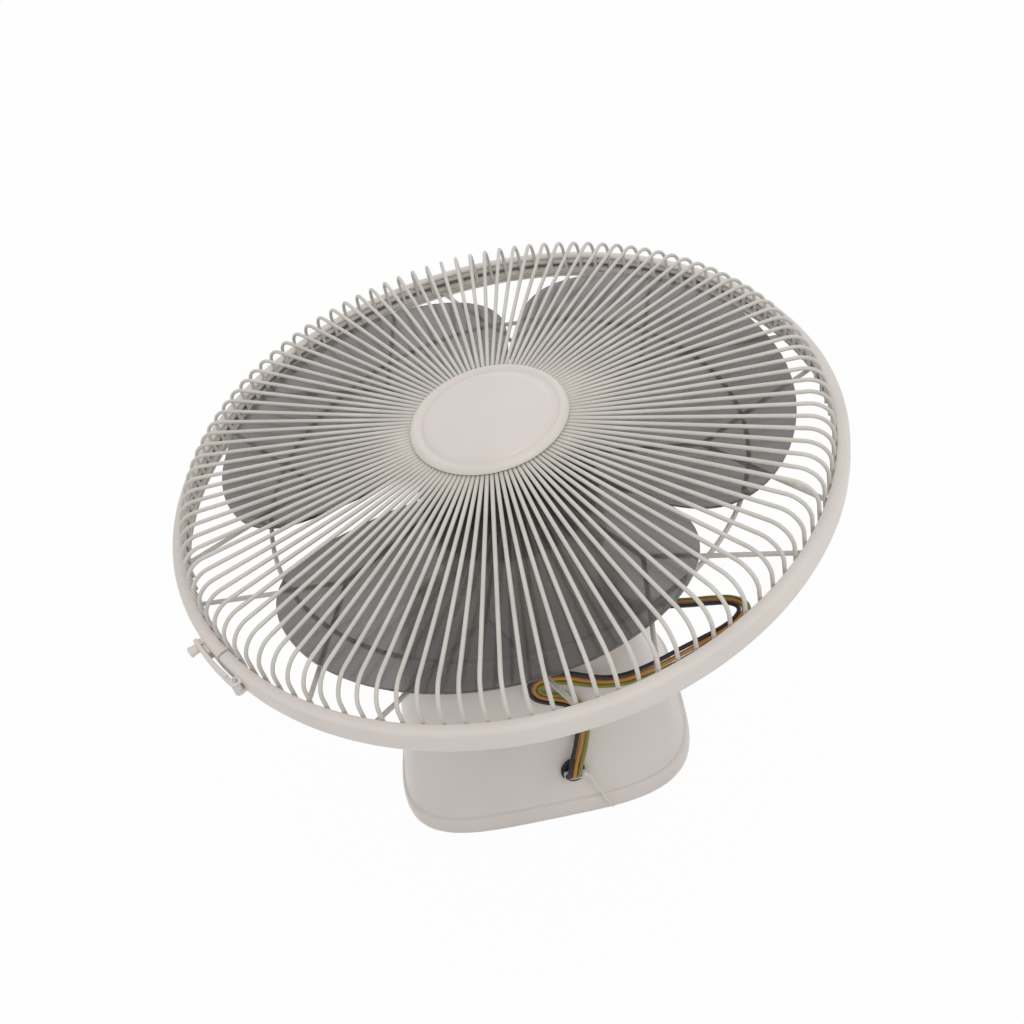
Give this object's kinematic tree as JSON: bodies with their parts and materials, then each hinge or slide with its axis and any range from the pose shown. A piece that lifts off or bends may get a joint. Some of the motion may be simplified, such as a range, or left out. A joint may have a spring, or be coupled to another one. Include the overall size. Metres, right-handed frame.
{
  "type": "orbital ceiling fan",
  "caption": "Ceiling fan whose caged head hangs on a tilted crank under a square canopy and circles without turning while its blades spin.",
  "frame": {"origin": "centre of the four ceiling bolts, on the face that lies against the ceiling", "axes": "+Z from the ceiling face out through the canopy to the fan; -Y is the side towards which the head leans at rest; +X completes a right-handed frame"},
  "size_m": [0.46, 0.4456, 0.3347],
  "materials": {
    "ivory_plastic": "glossy ivory moulding",
    "ivory_wire": "ivory powder coat on steel wire",
    "smoke_plastic": "translucent smoke grey moulding",
    "dark_plastic": "black moulding",
    "white_plastic": "natural white nylon",
    "zinc_sheet": "zinc plated sheet",
    "steel": "plated steel",
    "ground_steel": "ground steel",
    "iron": "varnished lamination stack",
    "bronze": "sintered bronze",
    "copper": "enamelled copper winding",
    "brass": "brass",
    "rubber": "black rubber",
    "lead_black": "black PVC insulation",
    "lead_orange": "orange PVC insulation",
    "lead_earth": "yellow and green PVC insulation",
    "motor_can": "plated motor can"
  },
  "bodies": {
    "ceiling_unit": {"canopy": "ivory_plastic", "ceiling_bracket": "zinc_sheet", "bracket_screws": "steel", "chassis_posts": "zinc_sheet", "chassis_plate": "zinc_sheet", "post_screws": "steel", "neck_cup": "ivory_plastic", "cup_screws": "steel", "shaft_bush": "bronze", "thrust_washer": "white_plastic", "orbit_motor": "motor_can", "motor_screws": "steel", "capacitor": "dark_plastic", "terminal_block": "white_plastic", "terminal_screws": "brass", "lead_bush": "rubber", "cable_tie": "white_plastic", "lead_black": "lead_black", "lead_orange": "lead_orange", "lead_earth": "lead_earth"},
    "orbit_arm": {"orbit_crank": "ground_steel", "crank_collar": "steel", "orbit_gear": "white_plastic", "gear_clip": "steel", "stub_nut": "steel"},
    "pinion": {"drive_pinion": "brass"},
    "head": {"neck_ball": "ivory_plastic", "neck_screws": "steel", "stub_bearings": "ground_steel", "guide_pin": "ground_steel", "rear_cover": "ivory_plastic", "front_cover": "dark_plastic", "cover_screws": "steel", "stator_core": "iron", "stator_winding": "copper", "shaft_bearings": "bronze", "guard_nut": "ivory_plastic", "rear_guard": "ivory_wire", "rear_hoop": "ivory_wire", "rear_arms": "ivory_wire", "guard_ring": "ivory_plastic", "front_guard": "ivory_wire", "badge": "ivory_plastic", "badge_plate": "ivory_wire", "badge_screws": "steel", "clip_pin": "steel"},
    "rotor": {"motor_shaft": "ground_steel", "rotor_core": "iron", "drive_bar": "steel", "blade": "smoke_plastic", "spinner": "ivory_plastic"},
    "pull_knob": {"orbit_knob": "white_plastic", "knob_spindle": "ground_steel"},
    "clip_lever": {"guard_clip": "ivory_plastic"}
  },
  "joints": [
    {"name": "orbit_turn", "type": "hinge", "parent": "ceiling_unit", "child": "orbit_arm", "pos_m": [0.022, 0, 0.164], "axis": [0, 0, 1], "continuous": true},
    {"name": "pinion_turn", "type": "hinge", "parent": "ceiling_unit", "child": "pinion", "pos_m": [-0.003, 0.0433, 0.054], "axis": [0, 0, 1], "continuous": true},
    {"name": "head_hang", "type": "hinge", "parent": "orbit_arm", "child": "head", "pos_m": [0.022, 0, 0.164], "axis": [0, -0.2756, 0.9613], "continuous": true},
    {"name": "blade_turn", "type": "hinge", "parent": "head", "child": "rotor", "pos_m": [0.022, -0.02646, 0.25628], "axis": [0, -0.2756, 0.9613], "continuous": true},
    {"name": "knob_pull", "type": "slide", "parent": "head", "child": "pull_knob", "axis": [-0.8315, -0.534, -0.1531], "range_m": [0, 0.004]},
    {"name": "clip_swing", "type": "hinge", "parent": "head", "child": "clip_lever", "pos_m": [-0.15548, -0.16997, 0.20681], "axis": [0, -0.2756, 0.9613], "range_deg": [0, 95]}
  ],
  "couplings": [
    {"joint": "pinion_turn", "follows": "orbit_turn", "ratio": -4},
    {"joint": "head_hang", "follows": "orbit_turn", "ratio": -1}
  ]
}
